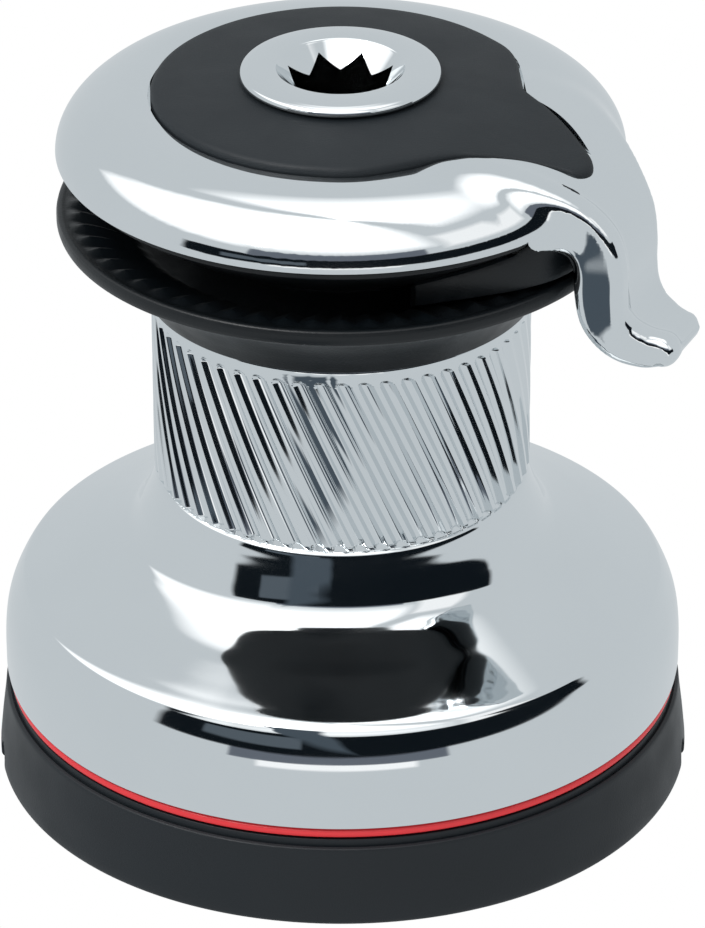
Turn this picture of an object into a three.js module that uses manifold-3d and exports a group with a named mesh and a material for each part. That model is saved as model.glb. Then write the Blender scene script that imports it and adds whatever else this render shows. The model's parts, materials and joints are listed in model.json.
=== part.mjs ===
// Two-speed self-tailing sailboat winch, as an assembly of separate parts. Units are millimetres, +Z is up,
// and the origin is the centre of the base's mounting face. The feeder arm points towards ARM_AZIMUTH.
// All parts are shown in the first-speed state: the shaft's pawls drive the first-speed gear, and the
// second-speed pawls ride depressed on the tips of their ratchet.
import * as THREE from "three";
import { mergeVertices } from "three/addons/utils/BufferGeometryUtils.js";
import Module from "manifold-3d";

const wasm = await Module();
wasm.setup();

const DEG = Math.PI / 180;
const GAP = 0.3; // clearance between neighbouring parts that don't slide on each other
const SMOOTH = 40; // sides of the large outer shells
const ROUND = 24; // sides of inner turned parts
const SMALL = 10; // sides of screws and pins

// Driving dimensions
const BASE_R = 78.2;
const BASE_TOP = 18.4;
const SKIRT_R = 76;
const SKIRT_BOTTOM = 23.3;
const BARREL_R = 41.9;
const RIB_ROOT_R = 40.7;
const RIBS = 56;
const RIB_Z = [72.8, 114.8];
const RIB_TWIST = 25 * DEG;
const DRUM_TOP = 117.6;
const JAW_R = 62.1;
const CAP_R = 62.1;
const CAP_BOTTOM = 150.6;
const SOCKET_TOP = 170.3;
const ARM_AZIMUTH = -25 * DEG;
const COVER_AZIMUTH = -32.6 * DEG;

// Tower, shaft and bearings
const TOWER_R = 27;
const DRUM_BORE_R = 36.5;
const SHAFT_R = 13;
const DRIVE_SQUARE = 17.6; // across the flats of each of the star socket's two squares
const STAR_TURN = 22.5 * DEG; // a star point lies at this angle from +X

// Gears: module, pressure angle, and teeth
const MODULE = 1.5;
const PRESSURE = 25 * DEG;
const ADDENDUM = 0.8 * MODULE;
const DEDENDUM = 1.05 * MODULE;
const BACKLASH = 0.3;
const RING_TEETH = 66;
const FIRST_TEETH = 31;
const IDLER_TEETH = 12;
const FIRST_PINION_TEETH = 14;
const SHAFT_GEAR_TEETH = 20;
const RATCHET_GEAR_TEETH = 30;
const SECOND_PINION_TEETH = 16;
const pitchRadius = (teeth) => (MODULE * teeth) / 2;

// Gear levels, as [bottom, top]
const RING_Z = [24, 36];
const FIRST_Z = [30.5, 36];
const SECOND_PINION_Z = [24.2, 29.6];
const RATCHET_Z = [11, 19.5];

// ---------- shape helpers ----------

function solid(geometry) {
  const bare = geometry.index ? geometry.toNonIndexed() : geometry.clone();
  for (const name of ["normal", "uv"]) bare.deleteAttribute(name);
  const merged = mergeVertices(bare, 1e-4);
  return new wasm.Manifold(
    new wasm.Mesh({
      numProp: 3,
      vertProperties: merged.attributes.position.array,
      triVerts: new Uint32Array(merged.index.array),
    }),
  );
}

function geometryOf(manifold) {
  const mesh = manifold.getMesh();
  return new THREE.BufferGeometry()
    .setAttribute("position", new THREE.BufferAttribute(mesh.vertProperties, 3))
    .setIndex(new THREE.BufferAttribute(mesh.triVerts, 1));
}

const cutAll = (body, cutters) => cutters.reduce((left, cutter) => left.subtract(cutter), body);
const joinAll = (bodies) => bodies.reduce((sum, body) => sum.add(body));
const polar = (radius, angle) => [radius * Math.cos(angle), radius * Math.sin(angle)];
const turned = (x, y, angle) => [
  x * Math.cos(angle) - y * Math.sin(angle),
  x * Math.sin(angle) + y * Math.cos(angle),
];

// A turned part: profile is a closed loop of [radius, z], either way round.
function turnedSolid(profile, sides = ROUND) {
  const loop = [...profile, profile[0]].map(([r, z]) => new THREE.Vector2(r, z));
  if (THREE.ShapeUtils.isClockWise(loop)) loop.reverse();
  const lathe = new THREE.LatheGeometry(loop, sides);
  lathe.rotateX(Math.PI / 2);
  return solid(lathe);
}

// A straight prism over an outline of [x, y] points, with optional holes.
function prism(outline, bottom, top, holes = []) {
  const shape = new THREE.Shape(outline.map(([x, y]) => new THREE.Vector2(x, y)));
  shape.holes = holes.map((hole) => new THREE.Path(hole.map(([x, y]) => new THREE.Vector2(x, y))));
  const settings = { depth: top - bottom, bevelEnabled: false, curveSegments: 1 };
  const block = new THREE.ExtrudeGeometry(shape, settings);
  block.translate(0, 0, bottom);
  return solid(block);
}

function circleOutline(radius, sides = ROUND, [x, y] = [0, 0]) {
  const points = [];
  for (let i = 0; i < sides; i++) {
    const [px, py] = polar(radius, (2 * Math.PI * i) / sides);
    points.push([x + px, y + py]);
  }
  return points;
}

const rod = (radius, bottom, top, sides = SMALL, centre = [0, 0]) =>
  prism(circleOutline(radius, sides, centre), bottom, top);

const tube = (inner, outer, bottom, top, sides = ROUND) =>
  turnedSolid([[inner, bottom], [outer, bottom], [outer, top], [inner, top]], sides);

const parts = new THREE.Group();

function addPart(name, manifold, finish) {
  const mesh = new THREE.Mesh(geometryOf(manifold), finish);
  mesh.name = name;
  parts.add(mesh);
}

const finishOf = (color, roughness, metalness) =>
  new THREE.MeshStandardMaterial({ color, roughness, metalness });
const CHROME = finishOf(0xd5d8da, 0.06, 1);
const BLACK_PLASTIC = finishOf(0x23272a, 0.45, 0);
const BASE_BLACK = finishOf(0x2b3033, 0.5, 0);
const RED_PLASTIC = finishOf(0xd22c33, 0.4, 0);
const ALUMINIUM = finishOf(0x9a9da0, 0.45, 0.9);
const STEEL = finishOf(0xb4b7b9, 0.3, 1);
const BRONZE = finishOf(0xb08d4c, 0.35, 1);
const ACETAL = finishOf(0xe8e6dc, 0.5, 0);

// ---------- gear shapes ----------

const involute = (angle) => Math.tan(angle) - angle;

// Outline of a gear whose tooth centre lies at angle phase. thicker widens each tooth at the pitch circle.
function gearOutline(teeth, phase, rootRadius, tipRadius, thicker) {
  const pitch = pitchRadius(teeth);
  const base = pitch * Math.cos(PRESSURE);
  const halfTooth = ((Math.PI * MODULE) / 2 + thicker) / 2 / pitch;
  const flankAngle = (r) => Math.acos(Math.min(1, base / Math.max(r, base)));
  const halfAt = (r) => halfTooth + involute(PRESSURE) - involute(flankAngle(r));
  const flank = teeth < 24 ? [rootRadius, pitch, tipRadius] : [rootRadius, tipRadius];
  const points = [];
  for (let i = 0; i < teeth; i++) {
    const centre = phase + (2 * Math.PI * i) / teeth;
    for (const r of flank) points.push(polar(r, centre - halfAt(r)));
    for (const r of [...flank].reverse()) points.push(polar(r, centre + halfAt(r)));
  }
  return points;
}

const externalGear = (teeth, phase) =>
  gearOutline(teeth, phase, pitchRadius(teeth) - DEDENDUM, pitchRadius(teeth) + ADDENDUM, -BACKLASH / 2);

const moved = (outline, [x, y]) => outline.map(([px, py]) => [px + x, py + y]);

// Share of a tooth by which direction lies past a tooth centre.
const toothShare = (teeth, phase, direction) => ((direction - phase) * teeth) / (2 * Math.PI);
const phaseFrom = (teeth, share, direction) => direction - (share * 2 * Math.PI) / teeth;

// Phase of a gear driven by its neighbour. direction points from the driver's centre to the driven one's.
const meshOutside = (driverTeeth, driverPhase, teeth, direction) =>
  phaseFrom(teeth, 0.5 - toothShare(driverTeeth, driverPhase, direction), direction + Math.PI);
const meshInside = (teethA, phaseA, teethB, direction) =>
  phaseFrom(teethB, toothShare(teethA, phaseA, direction) - 0.5, direction);

// Places of the gear pins round the shaft
const IDLER_ANGLE = 100 * DEG;
const IDLER_R = pitchRadius(FIRST_TEETH) + pitchRadius(IDLER_TEETH);
const PINION_R = pitchRadius(RING_TEETH) - pitchRadius(FIRST_PINION_TEETH);
const IDLER_TO_PINION = pitchRadius(IDLER_TEETH) + pitchRadius(FIRST_PINION_TEETH);
const PINION_ANGLE =
  IDLER_ANGLE + Math.acos((IDLER_R ** 2 + PINION_R ** 2 - IDLER_TO_PINION ** 2) / (2 * IDLER_R * PINION_R));
const SECOND_ANGLE = -70 * DEG;
const SECOND_R = pitchRadius(SHAFT_GEAR_TEETH) + pitchRadius(RATCHET_GEAR_TEETH);
const idlerAt = polar(IDLER_R, IDLER_ANGLE);
const pinionAt = polar(PINION_R, PINION_ANGLE);
const secondAt = polar(SECOND_R, SECOND_ANGLE);
const idlerToPinion = Math.atan2(pinionAt[1] - idlerAt[1], pinionAt[0] - idlerAt[0]);

const firstPhase = 0;
const idlerPhase = meshOutside(FIRST_TEETH, firstPhase, IDLER_TEETH, IDLER_ANGLE);
const pinionPhase = meshOutside(IDLER_TEETH, idlerPhase, FIRST_PINION_TEETH, idlerToPinion);
const ringPhase = meshInside(FIRST_PINION_TEETH, pinionPhase, RING_TEETH, PINION_ANGLE);
const secondPhase = meshInside(RING_TEETH, ringPhase, SECOND_PINION_TEETH, SECOND_ANGLE);
const shaftGearPhase = 0;
const ratchetPhase = meshOutside(SHAFT_GEAR_TEETH, shaftGearPhase, RATCHET_GEAR_TEETH, SECOND_ANGLE);

// ---------- base and housing ----------

const NOTCH_ANGLES = [-10, 60, 125, 195].map((a) => a * DEG);
const DECK_BOLT_R = 58.5;
const DECK_BOLT_ANGLES = [36, 108, 180, 252, 324].map((a) => a * DEG);
const DECK_HOLE_R = 4.2;
const POST_ANGLES = [15, 185, 225].map((a) => a * DEG);
const PIN_R = 4.8;
const IDLER_PIN_R = 3.2;

function baseSkirt() {
  const body = turnedSolid(
    [[71, 0], [77.5, 0], [BASE_R, 0.8], [BASE_R, 3.4], [76.8, 17.6], [76, BASE_TOP], [75, BASE_TOP],
      [74.8, 20.3], [71, 20.3]],
    SMOOTH,
  );
  const notch = NOTCH_ANGLES.map((a) =>
    prism([[68, -5.5], [82, -5.5], [82, 5.5], [68, 5.5]].map(([x, y]) => turned(x, y, a)), -1, 4));
  return cutAll(body, notch);
}

// The round flange, the posts between the gear windows, the shelf over the gears, and the bearing tower.
function housing() {
  const flange = turnedSolid([[0, 0], [70.7, 0], [70.7, 8], [13.3, 8], [13.3, 1.2], [0, 1.2]], SMOOTH);
  const shelf = tube(16.3, 47, 38.6, 43);
  const tower = turnedSolid(
    [[16.3, 42.5], [TOWER_R, 42.5], [TOWER_R, 47], [34, 51], [34, 62.6], [TOWER_R, 62.6], [TOWER_R, 113],
      [23.6, 114], [23.6, 131], [19.5, 131], [19.5, 110.5], [16.3, 110.5], [16.3, 97.5],
      [19.5, 97.5], [19.5, 55.5], [16.3, 55.5]],
    ROUND,
  );
  const posts = POST_ANGLES.map((a) =>
    prism([[30, -5], [45, -5], [45, 5], [30, 5]].map(([x, y]) => turned(x, y, a)), 7.5, 39));
  const holes = [
    rod(IDLER_PIN_R + 0.1, -1, 50, SMALL, idlerAt),
    rod(PIN_R + 0.1, -1, 50, SMALL, pinionAt),
    rod(PIN_R + 0.1, -1, 50, SMALL, secondAt),
    ...DECK_BOLT_ANGLES.map((a) => rod(DECK_HOLE_R, -1, 9, SMALL, polar(DECK_BOLT_R, a))),
  ];
  return cutAll(joinAll([flange, shelf, tower, ...posts]), holes);
}

// ---------- drum ----------

const SHOULDER = [[76.2, 31], [75.9, 35.4], [75.3, 38.6], [74.4, 41.2], [72.4, 45.3], [71, 46.7]];
const FLARE = [[64, 50.1], [56, 53.9], [50.4, 56.9], [47.6, 59], [45.1, 63.6], [42.6, 70.4],
  [RIB_ROOT_R - 0.15, 73.6]];
const RING_SEAT_R = 58.3;
const JAW_SCREW_R = 35.2;
const JAW_SCREW_ANGLES = [0, 120, 240].map((a) => a * DEG);

function drum() {
  const body = turnedSolid(
    [[SKIRT_R - 0.2, SKIRT_BOTTOM], ...SHOULDER, ...FLARE, [RIB_ROOT_R - 0.15, RIB_Z[1] - 1],
      [BARREL_R, RIB_Z[1] + 0.4], [BARREL_R, DRUM_TOP - 0.6], [BARREL_R - 0.6, DRUM_TOP],
      [28.4, DRUM_TOP], [28.4, 113], [DRUM_BORE_R, 113], [DRUM_BORE_R, 61], [40, 57.5], [54, 46],
      [54, RING_Z[1] + GAP], [RING_SEAT_R, RING_Z[1] + GAP], [RING_SEAT_R, 23.6], [62, 23.6], [62.5, 45.6],
      [68, 43.4], [71.6, 38], [71.6, SKIRT_BOTTOM]],
    SMOOTH,
  );
  const screwHoles = JAW_SCREW_ANGLES.map((a) => rod(2.2, 110, 120, SMALL, polar(JAW_SCREW_R, a)));
  return cutAll(body.add(ribBand()), screwHoles);
}

// The barrel's grip ribs: a sleeve whose ridged outline turns as it rises. Its inner wall is inside the drum.
function ribBand() {
  const levels = 3;
  const across = 2 * RIBS;
  const vertices = [];
  const faces = [];
  for (let k = 0; k <= levels; k++) {
    const z = RIB_Z[0] + ((RIB_Z[1] - RIB_Z[0]) * k) / levels;
    const turn = (-RIB_TWIST * k) / levels;
    for (let i = 0; i < across; i++) {
      const r = i % 2 ? RIB_ROOT_R : BARREL_R;
      vertices.push(...polar(r, turn + (Math.PI * i) / RIBS), z);
    }
  }
  for (let k = 0; k < levels; k++) {
    for (let i = 0; i < across; i++) {
      const [a, b] = [k * across + i, k * across + ((i + 1) % across)];
      faces.push(a, b, b + across, a, b + across, a + across);
    }
  }
  const bottom = vertices.length / 3;
  vertices.push(0, 0, RIB_Z[0], 0, 0, RIB_Z[1]);
  for (let i = 0; i < across; i++) {
    const next = (i + 1) % across;
    faces.push(bottom, next, i, bottom + 1, levels * across + i, levels * across + next);
  }
  const band = new THREE.BufferGeometry()
    .setAttribute("position", new THREE.Float32BufferAttribute(vertices, 3))
    .setIndex(faces);
  return solid(band).subtract(rod(39.4, 60, 130, SMOOTH));
}

// The red ring under the skirt, with its outer corners taken off.
const trimRing = () =>
  turnedSolid([[71.7, 21], [75, 21], [75.5, 21.5], [75.5, 22.6], [75.1, 23], [71.7, 23]], SMOOTH);

function ringGear() {
  const pitch = pitchRadius(RING_TEETH);
  const gapPhase = ringPhase + Math.PI / RING_TEETH;
  const bore = gearOutline(RING_TEETH, gapPhase, pitch - ADDENDUM, pitch + DEDENDUM, BACKLASH / 2);
  return prism(circleOutline(RING_SEAT_R - 0.1, SMOOTH), RING_Z[0], RING_Z[1], [bore]);
}

const ROLLERS = 10;

function rollerBearing(bottom) {
  const height = 15;
  const middle = (TOWER_R + DRUM_BORE_R) / 2;
  const cage = tube(middle - 1.6, middle + 1.6, bottom, bottom + height, 20);
  const rollers = [];
  for (let i = 0; i < ROLLERS; i++) {
    const at = polar(middle, (2 * Math.PI * i) / ROLLERS);
    rollers.push(rod(4.5, bottom + 1.5, bottom + height - 1.5, 8, at));
  }
  return joinAll([cage, ...rollers]);
}

// ---------- jaws ----------

const SPRING_R = 36.6;
const SPRING_ANGLES = [36, 108, 180, 252, 324].map((a) => a * DEG);
const SPRING_BOTTOM = 141.2;
const SPRING_TOP = 151.2;

function lowerJaw() {
  const body = turnedSolid(
    [[27.3, 117.9], [43.2, 117.9], [44.6, 119.8], [47.6, 125.4], [52, 130.2], [58, 133], [61.2, 133.6],
      [JAW_R, 134.6], [JAW_R, 137.2], [61.2, 137.9], [59.8, 137.4], [53, 136], [43, 131.5], [42, 131],
      [31, 131], [31, 151.2], [27.3, 151.2]],
    SMOOTH,
  );
  const wells = JAW_SCREW_ANGLES.flatMap((a) => {
    const at = polar(JAW_SCREW_R, a);
    return [rod(2.2, 117, 132, SMALL, at), rod(3.6, 126.5, 132, SMALL, at)];
  });
  return cutAll(body, wells);
}

function upperJaw() {
  const body = turnedSolid(
    [[31.3, 137.5], [42, 137.5], [43, 138], [48, 141], [53, 144.4], [58.6, 148.2], [59.5, 149],
      [59.5, 150.4], [59.2, 150.8], [44, 150.8], [43.4, 147.9], [31.3, 147.9]],
    SMOOTH,
  );
  return cutAll(body, SPRING_ANGLES.map((a) => rod(3.7, 141, 150, SMALL, polar(SPRING_R, a))));
}

class Coil extends THREE.Curve {
  getPoint(t) {
    const [x, y] = polar(2.7, 2 * Math.PI * 2.5 * t);
    return new THREE.Vector3(x, y, SPRING_BOTTOM + 0.6 + (SPRING_TOP - SPRING_BOTTOM - 1.3) * t);
  }
}

function jawSpring(angle) {
  const wire = 0.5;
  const section = new THREE.Shape([[wire, wire], [-wire, wire], [-wire, -wire], [wire, -wire]].map(
    ([x, y]) => new THREE.Vector2(x, y)));
  const settings = { steps: 20, extrudePath: new Coil(), bevelEnabled: false };
  const coil = new THREE.ExtrudeGeometry(section, settings);
  const [x, y] = polar(SPRING_R, angle);
  coil.translate(x, y, 0);
  return solid(coil);
}

// ---------- self-tailing arm ----------

const armPoint = (u, t) => turned(u, t, ARM_AZIMUTH);
const ARM_SCREW_ANGLES = [20, 110, 200, 290].map((a) => a * DEG);
const ARM_SCREW_R = 30;

// Side outline of the feeder hook: [distance from the axis, z].
const HOOK = [[50, 160.2], [58, 159.8], [64, 158.2], [69, 155.2], [72.8, 150.8], [74.2, 145], [74.4, 137],
  [75.6, 132.8], [79, 130], [83, 128.8], [84.9, 127], [85.2, 124.2], [83.6, 122], [78.4, 120.9], [72.8, 122],
  [67.4, 125.4],
  [64, 129.8], [62.7, 134.6], [62.6, 150.8], [60.8, 153.9], [58.4, 155.7], [50, 157.7]];

function armBlock(width, middle) {
  const shape = new THREE.Shape(HOOK.map(([u, z]) => new THREE.Vector2(u, z)));
  const bevel = 1.8;
  const block = new THREE.ExtrudeGeometry(shape, {
    depth: width - 2 * bevel, bevelThickness: bevel, bevelSize: 0, bevelSegments: 1, curveSegments: 1,
  });
  block.rotateX(Math.PI / 2);
  block.translate(0, middle + width / 2 - bevel, 0);
  block.rotateZ(ARM_AZIMUTH);
  return solid(block);
}

// The cap's raised neck, which carries the hook and the tip of the cover.
function neck() {
  const outline = [[44, -37], [51, -31], [57, -25.4], [62.4, -20], [66.4, -15.6], [69.4, -8], [69.6, 0],
    [66.6, 8.4], [61, 16], [54, 23], [44, 30]];
  const upper = prism(outline.map(([u, t]) => armPoint(u, t)), 153.9, 162);
  const keep = turnedSolid(
    [[38, 158.4], [58.4, 155.8], [60.6, 153.9], [80, 153.9], [80, 154.4], [70, 157.6], [62, 160],
      [52, 161.6], [38, 163]],
    SMOOTH,
  );
  return upper.intersect(keep);
}

// The cover is round, with one tip that lies along COVER_AZIMUTH. grow widens it all round.
function coverOutline(grow) {
  const points = [];
  for (let a = -48; a >= -318; a -= 10) points.push(polar(41.2 + grow, a * DEG));
  points.push([44, 15.4 + grow], [50, 12.3 + grow], [56, 8.4 + grow]);
  for (let a = 45; a >= -75; a -= 24) {
    const [x, y] = polar(4.8 + grow, a * DEG);
    points.push([57.4 + x, 1.1 + y]);
  }
  points.push([50.2, -7.3 - grow], [42.5, -12.3 - grow], [37.6, -16.6 - grow], [33, -23.3 - grow]);
  return points.map(([x, y]) => turned(x, y, COVER_AZIMUTH));
}

// The cover's seat steps down towards the arm, below the cap's own top.
const coverSeat = (drop) =>
  turnedSolid(
    [[0, 161.3 - drop], [46, 161.3 - drop], [54, 159.2 - drop], [76, 157.4 - drop], [76, 175], [0, 175]],
    SMOOTH,
  );

function coverRecess() {
  return prism(coverOutline(0.4), 150, 174).intersect(coverSeat(0.3));
}

function stripperArm() {
  const cap = turnedSolid(
    [[60.5, CAP_BOTTOM], [61.7, CAP_BOTTOM], [CAP_R, 151.4], [CAP_R, 153], [61.3, 155.3], [59.6, 157.4],
      [56, 159.6], [50, 161.9], [45, 163.3], [42, 163.7], [30, 163.7], [22.5, 163.7], [22.5, 158.3],
      [45, 158.3], [50, 157.6], [58.3, 155.6], [60.5, 153.6]],
    SMOOTH,
  );
  const centre = rod(22.4, 150, 170, ROUND);
  const wells = ARM_SCREW_ANGLES.flatMap((a) => {
    const at = polar(ARM_SCREW_R, a);
    return [rod(2.2, 150, 170, SMALL, at), rod(3.4, 159.4, 170, SMALL, at)];
  });
  const body = joinAll([cap, neck(), armBlock(24.4, -7.2)]);
  return cutAll(body, [coverRecess(), centre, ...wells]);
}

function armCover() {
  const plate = prism(coverOutline(0), 150, 172);
  const dome = turnedSolid(
    [[0, 155], [74, 155], [74, 158.8], [60, 161.7], [52, 163.6], [44, 165.2], [38, 166.1], [30, 167],
      [20, 167.6], [0, 167.6]],
    SMOOTH,
  );
  return cutAll(plate.intersect(dome).intersect(coverSeat(0)), [rod(19.6, 150, 170, ROUND)]);
}

// The crescent that lies in the jaws' groove behind the arm, and lifts the rope out of it.
function ropeGuide() {
  const outline = [];
  const half = 46;
  for (let a = -half; a <= half; a += 4) {
    const share = Math.max(0, Math.abs(a) - 14) / (half - 14);
    outline.push(polar(62.1 - 15.2 * share ** 1.3, ARM_AZIMUTH + a * DEG));
  }
  for (let a = half; a >= -half; a -= 11.5) outline.push(polar(45.4, ARM_AZIMUTH + a * DEG));
  const groove = turnedSolid(
    [[44, 133.2], [53.2, 137.1], [60.2, 138.7], [64, 138.9], [64, 150.2], [60.7, 150.2], [60.6, 147],
      [53.4, 143.3], [44, 137.4]],
    SMOOTH,
  );
  return prism(outline, 130, 152).intersect(groove);
}

function armSupport() {
  return cutAll(
    turnedSolid(
      [[23.8, 118.2], [26.9, 118.2], [26.9, 154.2], [34.5, 154.2], [34.5, 158], [19.6, 158],
        [19.6, 131.4], [23.8, 131.4]],
      ROUND,
    ),
    ARM_SCREW_ANGLES.map((a) => rod(2.2, 150, 160, SMALL, polar(ARM_SCREW_R, a))),
  );
}

function countersunkScrew(at, tip, headBottom, headTop, shank, head) {
  const body = joinAll([rod(shank, tip, headTop - 0.5, 10, at), rod(head, headBottom, headTop, SMALL, at)]);
  return body.subtract(prism(moved(circleOutline(head * 0.5, 6), at), headTop - 1.2, headTop + 1));
}

// ---------- drive shaft, socket and pawls ----------

const PAWL_Z = [FIRST_Z[0] + 0.1, FIRST_Z[1] - 0.2];
const SECOND_PAWL_Z = [RATCHET_Z[0] + 0.4, RATCHET_Z[1] - 0.4];
const RATCHET_STEPS = 12;
const FIRST_RATCHET = { tip: 15.4, root: 17.3 };
const SECOND_RATCHET = { tip: 11.2, root: 12.9 };

// Saw-tooth bore. side 1 has its deep corners just past each step, and side -1 just before it.
function ratchetBore({ tip, root }, phase, side) {
  const points = [];
  for (let i = 0; i < RATCHET_STEPS; i++) {
    const step = phase + (2 * Math.PI * i) / RATCHET_STEPS;
    const next = phase + (2 * Math.PI * (i + 0.98)) / RATCHET_STEPS;
    points.push(polar(side > 0 ? root : tip, step), polar(side > 0 ? tip : root, next));
  }
  return points;
}

// A pawl's outline. Its round heel is at the pivot, and its nose points the way that side gives.
function pawlOutline({ pivotR, eyeR, span, noseOut, noseIn }, angle, side) {
  const points = [];
  for (let a = 0; a >= -180; a -= 36) {
    const [x, y] = polar(eyeR, a * DEG);
    points.push([pivotR + x, y]);
  }
  points.push(polar(noseIn, span * DEG), polar(noseOut, span * DEG));
  return points.map(([x, y]) => turned(x, side * y, angle));
}

const FIRST_PAWL = { pivotR: 12.7, eyeR: 1.6, span: 34, noseOut: 16.7, noseIn: 14.2 };
const SECOND_PAWL = { pivotR: 8.4, eyeR: 1.2, span: 42, noseOut: 10.7, noseIn: 8.9 };

// The room that a pawl swings in, open towards the ratchet round it.
function pawlPocket({ pivotR, eyeR, span }, angle, side, depth, bottom, top) {
  const eye = rod(eyeR + 0.25, bottom, top, SMALL, turned(pivotR, 0, angle));
  const floorEnd = polar(depth, (span + 9) * DEG);
  const rimEnd = polar(pivotR + 8, (span + 9) * DEG);
  const room = [[pivotR - eyeR - 0.25, 0], floorEnd, rimEnd, [pivotR + 8, 0]];
  return joinAll([eye, prism(room.map(([x, y]) => turned(x, side * y, angle)), bottom, top)]);
}

const HEX_R = 10.2;
const SQUARE_R = 11.3;
const FIRST_PIVOTS = [37.8, 217.8].map((a) => a * DEG);
const SECOND_PIVOTS = [-50, 130].map((a) => a * DEG);

function driveShaft() {
  const body = turnedSolid(
    [[0, 1.6], [8.6, 1.6], [8.6, 20.4], [SHAFT_R, 20.4], [SHAFT_R, 28.4], [18.6, 28.4], [18.6, 30.1],
      [15, 30.1], [15, 36.4], [SHAFT_R, 36.4], [SHAFT_R, 112.6], [0, 112.6]],
    ROUND,
  );
  const square = prism(circleOutline(SQUARE_R, 4), 112, 120.6);
  const hexagon = prism(circleOutline(HEX_R, 6), 10.4, 21);
  const pockets = FIRST_PIVOTS.map((a) => pawlPocket(FIRST_PAWL, a, -1, 11, PAWL_Z[0] - 0.3, 40));
  return cutAll(joinAll([body, square, hexagon]), [...pockets, rod(4.3, 92, 130)]);
}

function starOutline(across, turn) {
  const points = [];
  const tip = across / Math.SQRT2;
  const waist = across / 2 / Math.cos(22.5 * DEG);
  for (let i = 0; i < 8; i++) {
    points.push(polar(tip, turn + i * 45 * DEG), polar(waist, turn + (i + 0.5) * 45 * DEG));
  }
  return points;
}

function handleSocket() {
  const body = turnedSolid(
    [[0, 113.2], [15.6, 113.2], [15.6, 160], [19.2, 160.6], [19.2, 167.8], [21.6, 167.9], [22, 168.5],
      [21.8, 169.4], [20.8, SOCKET_TOP], [0, SOCKET_TOP]],
  );
  const star = prism(starOutline(DRIVE_SQUARE, STAR_TURN), 124, 180);
  const mouth = turnedSolid(
    [[0, 164.4], [9.2, 164.4], [13.8, 169.8], [14.4, SOCKET_TOP], [14.4, 175], [0, 175]],
    ROUND,
  );
  const square = prism(circleOutline(SQUARE_R + 0.3, 4), 110, 121);
  return cutAll(body, [star, mouth, square, rod(4.4, 118, 126)]);
}

function firstGear() {
  return prism(externalGear(FIRST_TEETH, firstPhase), FIRST_Z[0], FIRST_Z[1], [
    ratchetBore(FIRST_RATCHET, 0, 1),
  ]);
}

const boredGear = (teeth, phase, at, bore, [bottom, top]) =>
  prism(moved(externalGear(teeth, phase), at), bottom, top, [circleOutline(bore, SMALL + 4, at)]);

const firstPinion = () =>
  boredGear(FIRST_PINION_TEETH, pinionPhase, pinionAt, PIN_R + 0.3, [FIRST_Z[0], RING_Z[1]]);

const shaftGear = () =>
  prism(externalGear(SHAFT_GEAR_TEETH, shaftGearPhase), ...RATCHET_Z, [circleOutline(HEX_R + 0.3, 6)]);

function ratchetGear() {
  return prism(moved(externalGear(RATCHET_GEAR_TEETH, ratchetPhase), secondAt), RATCHET_Z[0], RATCHET_Z[1], [
    moved(ratchetBore(SECOND_RATCHET, 0, -1), secondAt),
  ]);
}

function secondPinion() {
  const hub = rod(10.9, RATCHET_Z[0], RATCHET_Z[1] + 0.2, 28, secondAt);
  const neckPart = rod(9, RATCHET_Z[1], SECOND_PINION_Z[0] + 0.1, 28, secondAt);
  const teeth = prism(moved(externalGear(SECOND_PINION_TEETH, secondPhase), secondAt), ...SECOND_PINION_Z);
  const pockets = SECOND_PIVOTS.map((a) =>
    pawlPocket(SECOND_PAWL, a, 1, 7.2, RATCHET_Z[0] - 1, RATCHET_Z[1] - 0.1).translate([...secondAt, 0]));
  return cutAll(joinAll([hub, neckPart, teeth]), [rod(PIN_R + 0.3, 0, 60, SMALL, secondAt), ...pockets]);
}

const pawlSolid = (kind, angle, side, at, [bottom, top]) => {
  const outline = moved(pawlOutline(kind, angle, side), at);
  return prism(outline, bottom, top);
};

const pin = (radius, at) =>
  joinAll([rod(radius, 1, 43.6, SMALL, at), rod(radius + 1.4, 43.2, 44.8, SMALL, at)]);

// ---------- assembly ----------

addPart("base_skirt", baseSkirt(), BASE_BLACK);
addPart("housing", housing(), ALUMINIUM);
addPart("drum", drum(), CHROME);
addPart("drum_ring_gear", ringGear(), BRONZE);
addPart("drum_trim_ring", trimRing(), RED_PLASTIC);
addPart("lower_roller_bearing", rollerBearing(63), ACETAL);
addPart("upper_roller_bearing", rollerBearing(96), ACETAL);
addPart("bearing_spacer", tube(29.4, 34, 78.4, 95.6, 32), ACETAL);
addPart("lower_jaw", lowerJaw(), BLACK_PLASTIC);
addPart("upper_jaw", upperJaw(), BLACK_PLASTIC);
addPart("jaw_spring_retainer", tube(27.3, 41.8, 151.5, 153.8), STEEL);
SPRING_ANGLES.forEach((a, i) => addPart(`jaw_spring_${i + 1}`, jawSpring(a), STEEL));
JAW_SCREW_ANGLES.forEach((a, i) => {
  const screw = countersunkScrew(polar(JAW_SCREW_R, a), 113.4, 126.8, 130.4, 1.9, 3.3);
  addPart(`jaw_screw_${i + 1}`, screw, STEEL);
});
addPart("stripper_arm", stripperArm(), CHROME);
addPart("arm_cover", armCover(), BLACK_PLASTIC);
addPart("rope_guide", ropeGuide(), BLACK_PLASTIC);
addPart("arm_support", armSupport(), BRONZE);
ARM_SCREW_ANGLES.forEach((a, i) => {
  const screw = countersunkScrew(polar(ARM_SCREW_R, a), 154.6, 159.6, 161, 1.9, 3.1);
  addPart(`arm_screw_${i + 1}`, screw, STEEL);
});
addPart("handle_socket", handleSocket(), CHROME);
addPart("central_screw", countersunkScrew([0, 0], 96, 124.3, 129.6, 3.9, 6.4), STEEL);
addPart("drive_shaft", driveShaft(), STEEL);
addPart("lower_bush", tube(8.75, 13, 1.6, 8.4), ACETAL);
addPart("middle_bush", tube(SHAFT_R + 0.15, 16, 43.6, 55), ACETAL);
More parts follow.
